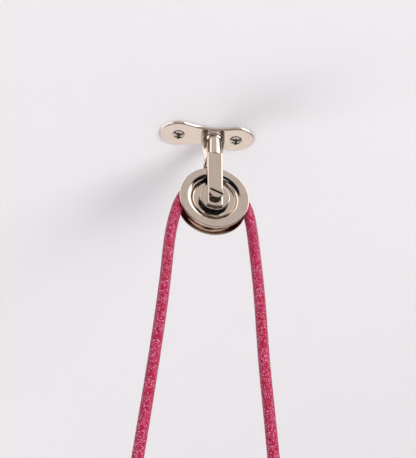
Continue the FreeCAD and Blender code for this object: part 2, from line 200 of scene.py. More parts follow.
def volume_of(points, faces):
    """Signed volume inside quads, as a sum of tetrahedra from the origin."""
    a, b, c, d = (points[faces[:, k]] for k in range(4))
    return (np.einsum("ij,ij->i", a, np.cross(b, c)) + np.einsum("ij,ij->i", a, np.cross(c, d))).sum() / 6


def make_piece(name, grids, sharp=32.0):
    """A mesh object from grids, each (points in millimetres, whether its last row meets its first).
    Grids that share a border are welded along it, and the faces of the whole are turned outwards."""
    points, faces, start = [], [], 0
    for grid, closed in grids:
        rows, columns = grid.shape[:2]
        points.append(grid.reshape(-1, 3))
        faces.append(quads(rows, columns, start, closed))
        start += rows * columns
    points, faces = np.concatenate(points) * MM, np.concatenate(faces)
    if len(grids) == 1 and volume_of(points, faces) < 0:
        faces = faces[:, ::-1]
    mesh = bpy.data.meshes.new(name)
    mesh.from_pydata(points, [], faces)
    weld(mesh, recalculate=len(grids) > 1)
    return finish_piece(name, mesh, sharp)


def weld(mesh, recalculate):
    """Merge points that coincide, drop what collapses and, if asked, turn every face outwards."""
    same_place, collapsed = 0.0005 * MM, 0.0002 * MM
    bm = bmesh.new()
    bm.from_mesh(mesh)
    bmesh.ops.remove_doubles(bm, verts=bm.verts, dist=same_place)
    bmesh.ops.dissolve_degenerate(bm, edges=bm.edges, dist=collapsed)
    if recalculate:
        bmesh.ops.recalc_face_normals(bm, faces=bm.faces)
    bm.to_mesh(mesh)
    bm.free()


def finish_piece(name, mesh, sharp=32.0):
    """Link the mesh as an object, shaded smooth except across edges sharper than sharp degrees."""
    mesh.polygons.foreach_set("use_smooth", np.ones(len(mesh.polygons), bool))
    mesh.set_sharp_from_angle(angle=math.radians(sharp))
    piece = bpy.data.objects.new(name, mesh)
    bpy.context.scene.collection.objects.link(piece)
    return piece


def rounded(corners, steps=6, closed=False):
    """A profile through corners (across, up, radius): straight runs, with each corner's arc tangent to
    both of its runs. A point close beyond each end of an arc keeps the flats' shading flat."""
    # An arc reaches at most over the first share of a run, and its guard point over the second.
    arc_share, guard_share, guard_gap = 0.47, 0.49, 0.04
    corners = [tuple(map(float, corner)) for corner in corners]
    count, points = len(corners), []
    for i, (x, z, radius) in enumerate(corners):
        here = np.array([x, z])
        if radius <= 0 or (not closed and i in (0, count - 1)):
            points.append(here)
            continue
        come, go = (np.array(corners[(i + k) % count][:2]) - here for k in (-1, 1))
        reach_in, reach_out = np.linalg.norm(come), np.linalg.norm(go)
        come, go = come / reach_in, go / reach_out
        half = math.acos(np.clip(come @ go, -1, 1)) / 2
        trim = min(radius / math.tan(half), arc_share * reach_in, arc_share * reach_out)
        radius = trim * math.tan(half)
        middle = here + (come + go) / np.linalg.norm(come + go) * radius / math.sin(half)
        first, last = here + come * trim - middle, here + go * trim - middle
        guard = 1 + guard_gap / max(trim, guard_gap)
        if trim * guard < guard_share * reach_in:
            points.append(here + come * trim * guard)
        opening = math.pi - 2 * half
        for t in np.linspace(0, 1, steps + 1):
            a, b = math.sin((1 - t) * opening), math.sin(t * opening)
            points.append(middle + (a * first + b * last) / math.sin(opening))
        if trim * guard < guard_share * reach_out:
            points.append(here + go * trim * guard)
    return np.array(points)


def lathe(profile, columns):
    """Turn a profile (radius, height) round the upright axis: x = r cos a, y = r sin a, z = h."""
    angle = np.linspace(0, 2 * math.pi, columns, endpoint=False)
    radius, height = profile[:, :1], profile[:, 1:]
    return np.stack([radius * np.cos(angle), radius * np.sin(angle), height + 0 * angle], axis=-1)


def turned_piece(name, place, profile, columns=96, hollow=True):
    """A piece turned from one profile and put in its place. A hollow one has a profile that closes."""
    return make_piece(name, [(place(lathe(profile, columns)), hollow)])


def ring_profile(bore, outer, low, high, *radii, steps=6):
    """The profile of a ring, its corners rounded in order from the bore's low end."""
    corners = ((bore, low), (outer, low), (outer, high), (bore, high))
    return rounded([(*corner, radius) for corner, radius in zip(corners, radii)], steps, closed=True)


def on_swivel(points):
    """Move points made round the upright axis to the swivel's axis."""
    return points + np.array([SWIVEL_X, 0, 0])


def on_axle(points):
    """Lay points made round the upright axis along the axle, with their up turned to the front."""
    x, y, z = np.moveaxis(points, -1, 0)
    return np.stack([AXLE[0] + x, -z, AXLE[2] + y], axis=-1)


def threaded(radius, core, pitch, low, high, columns, per_turn=12, sharpness=2.0):
    """Rows of a screw thread from low to high: the radius falls from radius to core as the power
    sharpness of the distance from the crest, which climbs one pitch per turn."""
    angle = np.linspace(0, 2 * math.pi, columns, endpoint=False)
    height = np.linspace(low, high, max(int(abs(high - low) / pitch * per_turn), 2))[:, None]
    phase = (height / pitch - angle / (2 * math.pi)) % 1
    away = 1 - np.abs(2 * phase - 1)
    reach = core + (radius - core) * (1 - away) ** sharpness
    return np.stack([reach * np.cos(angle), reach * np.sin(angle), height + 0 * angle], axis=-1)


def threaded_rod(head, crown, seat, edges, plain_end, tip, end):
    """An M5 rod from its crown down: a turned head with three rounded edges, a plain shank, the thread
    and a tip, given as its wide radius, its narrow radius and its height."""
    wide, narrow, rise = tip
    columns = 96
    corners = ((0, crown), (head, crown), (head, seat), (SHANK, seat), (SHANK, plain_end))
    top = rounded([(*corner, edge) for corner, edge in zip(corners, (0, *edges, 0))])
    pitch = bpy.context.scene.pulley_shape.bolt_pitch / MM
    thread = threaded(SHANK, THREAD_CORE, pitch, plain_end - 0.1, end + rise + 0.05, columns)
    point = rounded([(wide, end + rise, 0), (narrow, end, 0.1), (0, end, 0)])
    return np.concatenate([lathe(top, columns), thread, lathe(point, columns)])


def hex_block(flats, low, high):
    """A hexagonal block with a bore and two flats across x. Its ends are cut by shallow cones, so each
    flat ends in a curve: the end's height falls by the cone's slope times the distance beyond its flat
    circle."""
    angles = np.radians(60 * np.arange(6) + 30)
    corner = flats / math.sqrt(3)
    outline = rounded([(corner * math.cos(a), corner * math.sin(a), 0.3) for a in angles], 5, closed=True)
    reach = np.linalg.norm(outline, axis=1)
    direction = outline / reach[:, None]
    circle = 0.475 * flats
    fall = math.tan(math.radians(30)) * np.maximum(reach - circle, 0)
    edge = 0.06
    drawn_in = outline * (1 - 2 * edge / flats)
    rows = (
        (direction * BORE, high),
        (direction * (circle - edge), high),
        (direction * circle, high),
        (drawn_in, high - fall + edge / 2),
        (outline, high - fall - edge / 2),
        (outline, high - fall - 2 * edge),
        (outline, low + fall + 2 * edge),
        (outline, low + fall + edge / 2),
        (drawn_in, low + fall - edge / 2),
        (direction * circle, low),
        (direction * (circle - edge), low),
        (direction * BORE, low),
    )
    return np.array([np.column_stack([points, height + 0 * reach]) for points, height in rows])


def united(name, first, others, operation):
    """One closed piece from two or more closed pieces, joined or cut by the exact solver."""
    for k, other in enumerate(others):
        modifier = first.modifiers.new(f"{operation} {k}", "BOOLEAN")
        modifier.operation = operation
        modifier.solver = "EXACT"
        modifier.object = other
    graph = bpy.context.evaluated_depsgraph_get()
    mesh = bpy.data.meshes.new_from_object(first.evaluated_get(graph))
    for used in (first, *others):
        bpy.data.objects.remove(used)
    weld(mesh, recalculate=False)
    mesh.name = name
    return finish_piece(name, mesh)


def centres(piece):
    """Middles of a piece's faces, in millimetres."""
    flat = np.zeros(len(piece.data.polygons) * 3)
    piece.data.polygons.foreach_get("center", flat)
    return flat.reshape(-1, 3) / MM


def stack(row, height):
    """A row of points (x, y) at one height."""
    return np.column_stack([row, np.full(len(row), height)])


def settle(piece, body, slot, material, *nodes, recess=None):
    """Give a finished piece its material, body and slot, and let it stand for its nodes. The faces marked as
    recess get a second material painted dark as shade."""
    piece.data.materials.clear()
    piece.data.materials.append(material)
    if recess is not None:
        piece.data.materials.append(painted_recess_shade())
        piece.data.polygons.foreach_set("material_index", recess.astype(np.int32))
    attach(piece, body)
    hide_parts(*nodes)
    return piece


# ---- materials ----


def new_material(name):
    """A node material with one principled shader on its output."""
    material = bpy.data.materials.get(name) or bpy.data.materials.new(name)
    material.use_nodes = True
    tree = material.node_tree
    tree.nodes.clear()
    output = tree.nodes.new("ShaderNodeOutputMaterial")
    shader = tree.nodes.new("ShaderNodeBsdfPrincipled")
    tree.links.new(shader.outputs["BSDF"], output.inputs["Surface"])
    return material, tree, shader


def add_node(tree, kind, links=None, **settings):
    """A node with its settings, its inputs set to values or linked to other nodes' outputs."""
    node = tree.nodes.new(kind)
    for key, setting in settings.items():
        setattr(node, key, setting)
    for key, source in (links or {}).items():
        if isinstance(source, bpy.types.NodeSocket):
            tree.links.new(source, node.inputs[key])
        else:
            node.inputs[key].default_value = source
    return node


def maths(tree, operation, a, b=0.0):
    """The result of a maths node on two values."""
    return add_node(tree, "ShaderNodeMath", {0: a, 1: b}, operation=operation).outputs[0]


def times(tree, a, b):
    """Two values multiplied."""
    return maths(tree, "MULTIPLY", a, b)


def plus(tree, a, b):
    """Two values added."""
    return maths(tree, "ADD", a, b)


def noise(tree, place, scale, detail, **links):
    """A noise pattern's value at a place."""
    links = {"Vector": place, "Scale": scale, "Detail": detail, **links}
    return add_node(tree, "ShaderNodeTexNoise", links).outputs["Fac"]


def own_place(tree):
    """Coordinates on the piece itself."""
    return add_node(tree, "ShaderNodeTexCoord").outputs["Object"]


def dress(tree, shader, tint=None, rough=None, relief=None, depth=0.0, strength=1.0):
    """Link a colour, a roughness and a relief of a depth in metres to a shader, each if it is given."""
    bump = None
    if relief is not None:
        links = {"Height": relief, "Distance": depth, "Strength": strength}
        bump = add_node(tree, "ShaderNodeBump", links).outputs["Normal"]
    for socket, source in (("Base Color", tint), ("Roughness", rough), ("Normal", bump)):
        if source is not None:
            tree.links.new(source, shader.inputs[socket])


def mixed(tree, factor, a, b):
    """Two colours mixed by a factor."""
    node = add_node(tree, "ShaderNodeMix", data_type="RGBA")
    for index, source in ((0, factor), (6, a), (7, b)):
        if isinstance(source, bpy.types.NodeSocket):
            tree.links.new(source, node.inputs[index])
        else:
            node.inputs[index].default_value = source
    return node.outputs[2]


def spread(tree, source, low, high, to_low=0.0, to_high=1.0):
    """A smooth step of source from low to high, mapped on to_low to to_high."""
    links = {"Value": source, "From Min": low, "From Max": high, "To Min": to_low, "To Max": to_high}
    return add_node(tree, "ShaderNodeMapRange", links, interpolation_type="SMOOTHSTEP").outputs[0]


def rgba(rgb, factor=1.0):
    """A colour, darkened by a factor, with full cover."""
    return (*(factor * c for c in rgb), 1.0)


def plated_metal(name, rgb, polish, wear, grain=1.0):
    """Plated metal: hazy patches and fine crossed scratches in its roughness, a faint change of tint,
    and a very shallow ripple and scratches in its relief."""
    material, tree, shader = new_material(name)
    place = own_place(tree)
    haze = noise(tree, place, 160.0, 5.0, Roughness=0.6)
    marks = None
    for turn, stretch in ((0.6, (0.06, 1.0, 1.0)), (-1.1, (1.0, 0.05, 1.0)), (2.2, (1.0, 1.0, 0.07))):
        links = {"Vector": place, "Rotation": (turn, turn / 2, turn), "Scale": stretch}
        turned = add_node(tree, "ShaderNodeMapping", links).outputs[0]
        scratches = spread(tree, noise(tree, turned, 5200.0 * grain, 2.0), 0.64, 0.74)
        marks = scratches if marks is None else maths(tree, "MAXIMUM", marks, scratches)
    patches = spread(tree, haze, 0.42, 0.66)
    rough = plus(tree, times(tree, patches, wear), times(tree, marks, wear))
    rough = plus(tree, rough, polish)
    tint = mixed(tree, patches, rgba(rgb), rgba([c * k for c, k in zip(rgb, (0.97, 0.955, 0.93))]))
    ripple = times(tree, noise(tree, place, 420.0, 3.0), 0.4)
    relief = maths(tree, "SUBTRACT", ripple, times(tree, marks, 0.12))
    dress(tree, shader, tint, rough, relief, 0.000012, 0.6)
    shader.inputs["Metallic"].default_value = 1.0
    return material


def bearing_bronze(name, rgb):
    """Turned bronze: fine rings round the axle, and darker oily patches."""
    material, tree, shader = new_material(name)
    place = own_place(tree)
    links = {"Vector": place, "Location": tuple(-AXLE * MM)}
    centred = add_node(tree, "ShaderNodeMapping", links).outputs[0]
    rings = add_node(
        tree, "ShaderNodeTexWave", {"Vector": centred, "Scale": 1800.0, "Distortion": 1.5},
        wave_type="RINGS", rings_direction="Y",
    ).outputs["Fac"]
    oil = noise(tree, place, 700.0, 4.0)
    tint = mixed(tree, spread(tree, oil, 0.4, 0.65), rgba(rgb), rgba(rgb, 0.55))
    dress(tree, shader, tint, spread(tree, oil, 0.3, 0.7, 0.2, 0.42), rings, 0.00002, 0.5)
    shader.inputs["Metallic"].default_value = 1.0
    return material


def nickel():
    """The polished nickel, made once."""
    look = bpy.context.scene.pulley_finish
    return bpy.data.materials.get("polished nickel") or plated_metal(
        "polished nickel", look.nickel, look.polish, look.wear
    )


def steel():
    """The plated steel, a little rougher than the nickel, made once."""
    look = bpy.context.scene.pulley_finish
    return bpy.data.materials.get("plated steel") or plated_metal(
        "plated steel", look.steel, look.polish + 0.03, look.wear, grain=1.4
    )


def painted_recess_shade():
    """Metal painted dark as shade, with paler and darker blotches, for slots and driver recesses, made once.
    """
    known = bpy.data.materials.get("painted recess shade")
    if known:
        return known
    material, tree, shader = new_material("painted recess shade")
    # The recess's colour is painted shade: near-black metal, blotched between two dark tones.
    blotches = noise(tree, own_place(tree), 1500.0, 4.0)
    paler, darker = (0.10, 0.08, 0.06, 1.0), (0.035, 0.03, 0.026, 1.0)
    tint = mixed(tree, spread(tree, blotches, 0.4, 0.65), darker, paler)
    dress(tree, shader, tint, spread(tree, blotches, 0.3, 0.7, 0.35, 0.6))
    shader.inputs["Metallic"].default_value = 0.6
    return material


# ---- ceiling plate and its screws ----


def plate_shape():
    """Centres and radii of the plate's arcs: (lobe x, lobe radius, waist centre y, waist radius)."""
    low, high = node_box("ceiling_plate")
    lobe = (high[1] - low[1]) / 2
    half = high[0] - lobe
    waist_half = bpy.context.scene.pulley_shape.plate_waist / MM / 2
    waist = (half**2 + waist_half**2 - lobe**2) / (2 * (lobe - waist_half))
    return half, lobe, waist_half + waist, waist


def upper_outline(xs):
    """The plate's upper border and its outward normals at xs, from the two arcs that meet there."""
    half, lobe, centre, waist = plate_shape()
    join = half * waist / (waist + lobe)
    on_lobe = np.abs(xs) > join
    side = np.sign(xs)
    lobe_y = np.sqrt(np.maximum(lobe**2 - (xs - side * half) ** 2, 0))
    waist_y = centre - np.sqrt(waist**2 - np.minimum(np.abs(xs), join) ** 2)
    y = np.where(on_lobe, lobe_y, waist_y)
    normal_x = np.where(on_lobe, (xs - side * half) / lobe, -xs / waist)
    normal_y = np.where(on_lobe, lobe_y / lobe, (centre - waist_y) / waist)
    return np.column_stack([xs, y]), np.column_stack([normal_x, normal_y])


def mirrored(values):
    """The same points in the other order and below the middle line, to run on round the border."""
    return values[::-1] * np.array([1, -1])


def zone_border(left, right):
    """The plate's upper border from the right cut to the left one as points and outward normals. A cut
    beyond the plate gives way to the lobe's tip."""
    tip = node_box("ceiling_plate")[1][0]
    low, high = max(left, -tip), min(right, tip)
    # Steps are even in angle near a lobe's tip, so that the round end has no long facets.
    share_of_way = 0.5 - 0.5 * np.cos(np.linspace(0, math.pi, 65))
    xs = high + (low - high) * share_of_way
    return upper_outline(xs)


def plate_zone(left, right, hole_x, hole, inset, height):
    """A flat ring from a hole's edge to the border of its zone: points = hole's edge + t (border -
    hole's edge), the hole's edge lying where the line from the hole's centre to the border crosses it."""
    points, normals = zone_border(left, right)
    upper = points - inset * normals
    lower = mirrored(upper)
    tip = node_box("ceiling_plate")[1][0]
    loop = [upper]
    if left > -tip:
        loop.append(np.linspace(upper[-1], lower[0], 18)[1:-1])
        loop.append(lower)
    else:
        loop.append(lower[1:])
    if right < tip:
        loop.append(np.linspace(lower[-1], upper[0], 18)[1:-1])
    else:
        loop[-1] = loop[-1][:-1]
    border = np.concatenate(loop)
    centre = np.array([hole_x, 0.0])
    away = border - centre
    edge = centre + away / np.linalg.norm(away, axis=1)[:, None] * hole
    rows = [edge + (border - edge) * t for t in (0, 0.02, 0.5, 0.98, 1)]
    return np.array([stack(row, height) for row in rows])


class PULLEY_OT_plate(bpy.types.Operator):
    """Build the lobed ceiling plate with its rounded lower edge and its three holes"""

    bl_idname = "pulley.plate"
    bl_label = "Ceiling Plate"

    def execute(self, context):
        shape = context.scene.pulley_shape
        low, high = node_box("ceiling_plate")
        edge = shape.plate_edge / MM
        fine = shape.fine_edge / MM / 2
        screw_x = plate_shape()[0]
        neck, stud, head, seat = 2.35, 2.55, 4.55, 1.2
        cuts = [-1e3, (SWIVEL_X - screw_x) / 2, (SWIVEL_X + screw_x) / 2, 1e3]
        grids = []
        for k, (x, lower_hole, upper_hole) in enumerate(
            ((-screw_x, neck, neck), (SWIVEL_X, stud, head), (screw_x, neck, neck))
        ):
            below = plate_zone(cuts[k], cuts[k + 1], x, lower_hole, edge, low[2])
            above = plate_zone(cuts[k], cuts[k + 1], x, upper_hole, fine, high[2])
            grids += [(below, False), (above, False)]
            wall = [below[0], above[0]]
            if upper_hole > lower_hole:
                step_up, step_out = below[0].copy(), above[0].copy()
                step_up[:, 2] = step_out[:, 2] = high[2] - seat
                wall = [below[0], step_up, step_out, above[0]]
            grids.append((np.array(wall), False))
        # Each zone starts where the one before it ends, so the later ones leave out their first point.
        zones = [zone_border(cuts[k], cuts[k + 1]) for k in (2, 1, 0)]
        points, normals = (
            np.concatenate([zones[0][k], zones[1][k][1:], zones[2][k][1:]]) for k in (0, 1)
        )
        points, normals = (np.concatenate([v, mirrored(v)[1:-1]]) for v in (points, normals))
        quarter = np.linspace(0, math.pi / 2, 9)
        rim = [(edge - edge * math.sin(a), low[2] + edge - edge * math.cos(a)) for a in quarter]
        rim += [(fine - fine * math.cos(a), high[2] - fine + fine * math.sin(a)) for a in quarter[::4]]
        border = np.array([stack(points - inset * normals, height) for inset, height in rim])
        grids.append((border, False))
        piece = make_piece("plate_body", grids)
        settle(piece, "ceiling_mount", "nickel_plate", nickel(), "ceiling_plate")
        return {"FINISHED"}


def screw_head():
    """The screw head's radius, the height of its crown, the height where its rim starts, and the
    radius of the sphere that its dome is cut from."""
    low, high = node_box("ceiling_screws")
    head = (high[1] - low[1]) / 2
    rim_start = node_box("ceiling_plate")[0][2] - 0.5
    dome = rim_start - low[2]
    return head, low[2], rim_start, (head**2 + dome**2) / (2 * dome)


def screw_surface(turned_by):
    """A domed wood screw with a cross recess as one closed grid, row by row from the dome's crown:
    the dome z = sphere + recess where the cross lies, the head's rim and underside, the neck, and the
    thread, whose core tapers to the point."""
    head, crown, rim_start, sphere = screw_head()
    seat = node_box("ceiling_plate")[0][2] - 0.02
    tip = node_box("ceiling_screws")[1][2]
    columns = 168
    angle = np.linspace(0, 2 * math.pi, columns, endpoint=False)
    neck, shank, core, taper_length = 2.2, 2.0, 1.35, 4.0
    reach = head * np.linspace(0, 1, 64)[:, None] ** 0.9
    height = crown + sphere - np.sqrt(sphere**2 - reach**2)
    x = reach * np.cos(angle - turned_by)
    y = reach * np.sin(angle - turned_by)
    arm, half_width, soft, depth = 2.45, 0.6, 0.1, 1.3

    def inside(value, limit):
        """1 within a limit on either side of 0, falling smoothly to 0 across the soft edge."""
        step = np.clip((limit + soft - np.abs(value)) / (2 * soft), 0, 1)
        return step * step * (3 - 2 * step)

    cross = np.maximum(inside(x, arm) * inside(y, half_width), inside(y, arm) * inside(x, half_width))
    sink = depth * cross * (1 - 0.3 * reach / arm)
    rows = [np.stack([reach * np.cos(angle), reach * np.sin(angle), height + sink], axis=-1)]
    side = rounded([(head, rim_start, 0), (head, seat, 0.15), (neck, seat, 0), (neck, 0.3, 0)])
    rows.append(lathe(side[1:], columns))
    pitch = bpy.context.scene.pulley_shape.screw_pitch / MM
    thread = threaded(shank, core, pitch, 0.6, tip - 0.01, columns, per_turn=11, sharpness=3.5)
    thread[..., :2] *= np.clip((tip - thread[..., 2:]) / taper_length, 0, 1) ** 0.7
    rows.append(thread)
    rows.append(lathe(np.array([[0, tip]]), columns))
    return np.concatenate(rows)


class PULLEY_OT_screws(bpy.types.Operator):
    """Build the two domed cross-head screws that hold the plate"""

    bl_idname = "pulley.screws"
    bl_label = "Ceiling Screws"

    def execute(self, context):
        screw_x = plate_shape()[0]
        grids = [
            (screw_surface(math.radians(turned_by)) + np.array([x, 0, 0]), False)
            for x, turned_by in ((-screw_x, 5), (screw_x, -4))
        ]
        piece = make_piece("fixing_screws", grids, sharp=50.0)
        head, crown, _, sphere = screw_head()
        x, y, z = centres(piece).T
        away = np.hypot(np.abs(x) - screw_x, y)
        surface = crown + sphere - np.sqrt(np.maximum(sphere**2 - away**2, 0))
        plate_low = node_box("ceiling_plate")[0][2]
        # The cross is what lies above the dome's own surface, well inside the head and below the shank.
        sunk = (z > surface + 0.12) & (away < 0.9 * head) & (z < plate_low + 0.1)
        # The cross recess's faces are painted dark as shade.
        settle(piece, "ceiling_mount", "screw_steel", steel(), "ceiling_screws", recess=sunk)
        return {"FINISHED"}


# ---- swivel ----


class PULLEY_OT_swivel(bpy.types.Operator):
    """Build the riveted stud with its collar, washers and nut"""

    bl_idname = "pulley.swivel"
    bl_label = "Swivel"

    def execute(self, context):
        fine = context.scene.pulley_shape.fine_edge / MM

        def span(node):
            """Lowest and highest point of a turned node, and its radius."""
            low, high = node_box(node)
            return low[2], high[2], (high[0] - low[0]) / 2

        stud_low, stud_high, head = span("swivel_stud")
        nut_low, nut_high, nut_half = span("stud_nut")
        seat = stud_high - 1.1
        grid = threaded_rod(
            head, stud_high, seat, (0.3, 0.05, 0), nut_high + 1.0, (2.25, 1.9, 0.3), stud_low
        )
        stud = make_piece("stud_pin", [(on_swivel(grid), False)])
        settle(stud, "ceiling_mount", "nickel_plate", steel(), "swivel_stud")

        for name, node, lower, upper in (
            ("collar_ring", "swivel_collar", 3 * fine, 0.1),
            ("running_washer", "swivel_washer", 0.12, 0.12),
            ("lock_washer", "stud_washer", 0.15, 0.15),
        ):
            low, high, outer = span(node)
            ring = ring_profile(BORE, outer, low, high, 0.1, lower, upper, 0.1)
            piece = turned_piece(name, on_swivel, ring, 144)
            settle(piece, "ceiling_mount", "nickel_plate", nickel(), node)

        block = hex_block(2 * nut_half, nut_low, nut_high)
        nut = make_piece("hub_nut", [(on_swivel(block), True)])
        settle(nut, "ceiling_mount", "nickel_plate", nickel(), "stud_nut")
        return {"FINISHED"}


# ---- yoke ----


def yoke_sizes():
    """Heights of the hub's top and bottom and of the arms' lower end, then how far out the arms' inner
    and outer faces and the bosses' faces lie."""
    low, high = node_box("yoke")
    bottom = node_box("stud_washer")[1][2] + GAP
    inner = node_box("rear_thrust_washer")[1][1] + GAP
    return high[2], bottom, low[2], inner, node_box("axle_nut")[0][1], high[1]


def hub_surface():
    """The yoke's hub and its two bosses as one closed grid of (height, angle). The radius is the smooth
    maximum of a slightly bulging bell and, front and back, of a round column that stands off the axis:
    r = c cos a + sqrt(b^2 - c^2 sin^2 a), whose own radius b shrinks to a crown at the top."""
    shape = bpy.context.scene.pulley_shape
    top, bottom, _, _, _, face = yoke_sizes()
    top_radius, bottom_radius, bulge = 7.8, 5.2, 0.2
    column, crown = ARM_HALF, 3.0
    offset = face - column
    column_top = top - 1.2
    edge_low, edge_high = 0.45, 0.6
    columns = 320
    angle = np.linspace(0, 2 * math.pi, columns, endpoint=False)
    quarter = np.linspace(0, math.pi / 2, 8)
    rows = [(edge_low * (1 - math.sin(a)), bottom + edge_low * (1 - math.cos(a))) for a in quarter]
    rows += [(0.0, z) for z in np.linspace(bottom + edge_low, top - edge_high, 74)[1:-1]]
    rows += [(edge_high * (1 - math.cos(a)), top - edge_high * (1 - math.sin(a))) for a in quarter]
    inset, height = (np.array(v)[:, None] for v in zip(*rows))
    t = (height - bottom) / (top - bottom)
    bell = bottom_radius + (top_radius - bottom_radius) * t + bulge * 4 * t * (1 - t)
    over = np.clip(height - (column_top - crown), 0, crown)
    # Above its top the column is as good as gone.
    own = np.where(height < column_top, column - crown + np.sqrt(crown**2 - over**2), 0.01)
    across = np.abs(np.cos(angle)) * offset
    along = np.abs(np.sin(angle)) * offset
    boss = along + np.sqrt(np.maximum(own**2 - across**2, 0))
    blend = shape.hub_blend / MM
    near = np.maximum(blend - np.abs(bell - boss), 0) / blend
    reach = np.maximum(bell, boss) + near**2 * blend / 4 - inset
    side = np.stack([reach * np.cos(angle), reach * np.sin(angle), height + 0 * angle], axis=-1)
    beside = BORE + 0.05
    under = lathe(np.array([(BORE, bottom), (beside, bottom)]), columns)
    over_top = lathe(np.array([(beside, top), (BORE, top)]), columns)
    # A row just inside each end keeps the flat ends' shading flat.
    guard = np.array([0.985, 0.985, 1])
    return np.concatenate([under, side[:1] * guard, side, side[-1:] * guard, over_top])


def arm_piece(name, front):
    """One arm as a closed mesh: a rectangle in the plane of depth and height with rounded corners,
    carried across the arm's width. Its lower end lifts at both corners, and it draws in at both sides
    to round the long edges, by the outer radius where it faces out and a small one elsewhere."""
    shape = bpy.context.scene.pulley_shape
    _, bottom, tail, inner, outer, _ = yoke_sizes()
    half, clip, flat, soft = ARM_HALF, 1.5, ARM_HALF - 1.3, 0.25
    root, tail_top = bottom + 0.7, tail + 1.0
    profile = rounded(
        [(inner, root, 0.1), (outer, root, 0.4), (outer, tail, 0.35), (inner, tail, 0.3)], 5, closed=True
    )
    depth, height = profile[:, 0], profile[:, 1]
    on_tail = (height < tail_top).astype(float)
    tangent = np.roll(profile, -1, axis=0) - np.roll(profile, 1, axis=0)
    tangent /= np.linalg.norm(tangent, axis=1)[:, None]
    normal = np.column_stack([-tangent[:, 1], tangent[:, 0]])
    edge = soft + (shape.arm_edge / MM - soft) * np.clip(normal[:, 0], 0, 1)
    quarter = np.linspace(0, math.pi / 2, 9)
    rows = []
    for side, turns in ((-1, quarter), (0, np.linspace(-flat, flat, 25)), (1, quarter[::-1])):
        for turn in turns:
            if side:
                x = side * (half - edge * (1 - math.cos(turn)))
                pull = edge * (1 - math.sin(turn))
            else:
                x, pull = np.full(len(depth), turn), 0 * edge
            lift = on_tail * np.maximum(np.abs(x) - (half - clip), 0)
            y, z = (profile - pull[:, None] * normal).T
            rows.append(np.column_stack([x, y, z + lift]))
    grid = np.array(rows)
    grid[..., 1] *= -1 if front else 1
    count = grid.shape[1]
    points = on_swivel(grid.reshape(-1, 3)) * MM
    faces = quads(len(grid), count).tolist()
    faces += [list(range(count)), list(range((len(grid) - 1) * count, len(grid) * count))]
    mesh = bpy.data.meshes.new(name)
    mesh.from_pydata(points, [], faces)
    weld(mesh, recalculate=True)
    return finish_piece(name, mesh)


class PULLEY_OT_yoke(bpy.types.Operator):
    """Build the yoke: bell-shaped hub, two bosses and two arms in one piece, drilled for the axle"""

    bl_idname = "pulley.yoke"
    bl_label = "Yoke"

    def execute(self, context):
        hub = make_piece("hub_part", [(on_swivel(hub_surface()), True)])
        arms = [arm_piece("front_arm", True), arm_piece("rear_arm", False)]
        body = united("yoke_union", hub, arms, "UNION")
        reach = node_box("yoke")[1][1] + 1.0
        hole = np.array([(0, -reach), (BORE, -reach), (BORE, reach), (0, reach)])
        drill = turned_piece("drill", on_axle, hole, hollow=False)
        piece = united("yoke_body", body, [drill], "DIFFERENCE")
        settle(piece, "yoke_assembly", "nickel_plate", nickel(), "yoke")
        return {"FINISHED"}


# ---- axle ----


class PULLEY_OT_axle(bpy.types.Operator):
    """Build the axle bolt with its slotted head, its nut and the two thrust washers"""

    bl_idname = "pulley.axle"
    bl_label = "Axle"

    def execute(self, context):
        fine = context.scene.pulley_shape.fine_edge / MM
        low, high = node_box("axle_bolt")
        nut_low, nut_high = node_box("axle_nut")
        head, front, seat, end = (high[0] - low[0]) / 2, -low[1], nut_low[1], -high[1]
        grid = threaded_rod(head, front, seat, (0.3, 0.1, 0.05), -seat - 0.2, (2.2, 1.8, 0.35), end)
        bolt = make_piece("bolt_part", [(on_axle(grid), False)])
        slot_half, slot_floor, slope, clear = 0.75, front - 2.0, math.radians(-22.6), 6.0
        # A box that reaches clear of the head on three sides, turned by the slope.
        outline = ((-clear, front + clear), (-clear, slot_floor), (clear, slot_floor), (clear, front + clear))
        x, y, z = np.array([[(x, -slot_half, z), (x, slot_half, z)] for x, z in outline]).T
        turned = np.stack([
            x * math.cos(slope) - y * math.sin(slope), x * math.sin(slope) + y * math.cos(slope), z
        ]).T
        sides = [(0, 1, 3, 2), (2, 3, 5, 4), (4, 5, 7, 6), (6, 7, 1, 0), (0, 2, 4, 6), (7, 5, 3, 1)]
        mesh = bpy.data.meshes.new("slot_cutter")
        mesh.from_pydata(on_axle(turned).reshape(-1, 3) * MM, [], sides)
        weld(mesh, recalculate=True)
        cutter = finish_piece("slot_cutter", mesh, 30.0)
        bolt = united("axle_screw", bolt, [cutter], "DIFFERENCE")
        x, y, z = (centres(bolt) - AXLE).T
        across = x * math.sin(-slope) + z * math.cos(slope)
        in_slot = (np.abs(across) < slot_half + 0.02) & (np.hypot(x, z) < head - 0.02)
        in_slot &= (-y < front - 0.05) & (-y > slot_floor - 0.05)
        # The slot's faces are painted dark as shade.
        settle(bolt, "yoke_assembly", "nickel_plate", nickel(), "axle_bolt", recess=in_slot)

        block = hex_block(nut_high[0] - nut_low[0], -nut_high[1], -nut_low[1])
        nut = make_piece("axle_locknut", [(on_axle(block), True)])
        settle(nut, "yoke_assembly", "nickel_plate", nickel(), "axle_nut")
        for side in ("front", "rear"):
            node = f"{side}_thrust_washer"
            low, high = node_box(node)
            outer = (high[0] - low[0]) / 2
            ring = ring_profile(BORE, outer, -high[1], -low[1], 0, fine / 4, fine / 4, 0)
            shim = turned_piece(f"{side}_shim", on_axle, ring)
            settle(shim, "yoke_assembly", "nickel_plate", steel(), node)
        return {"FINISHED"}


# ---- wheel ----


def wheel_sizes():
    """Outer radius, rim half width, groove radius, its centre's radius, and half the web's thickness."""
    low, high = node_box("sheave_front_disc")
    wheel = (high[0] - low[0]) / 2
    return wheel, -low[1], -low[1] - 1.2, wheel - 4.2, node_box("sheave_hub_ring")[0][1]


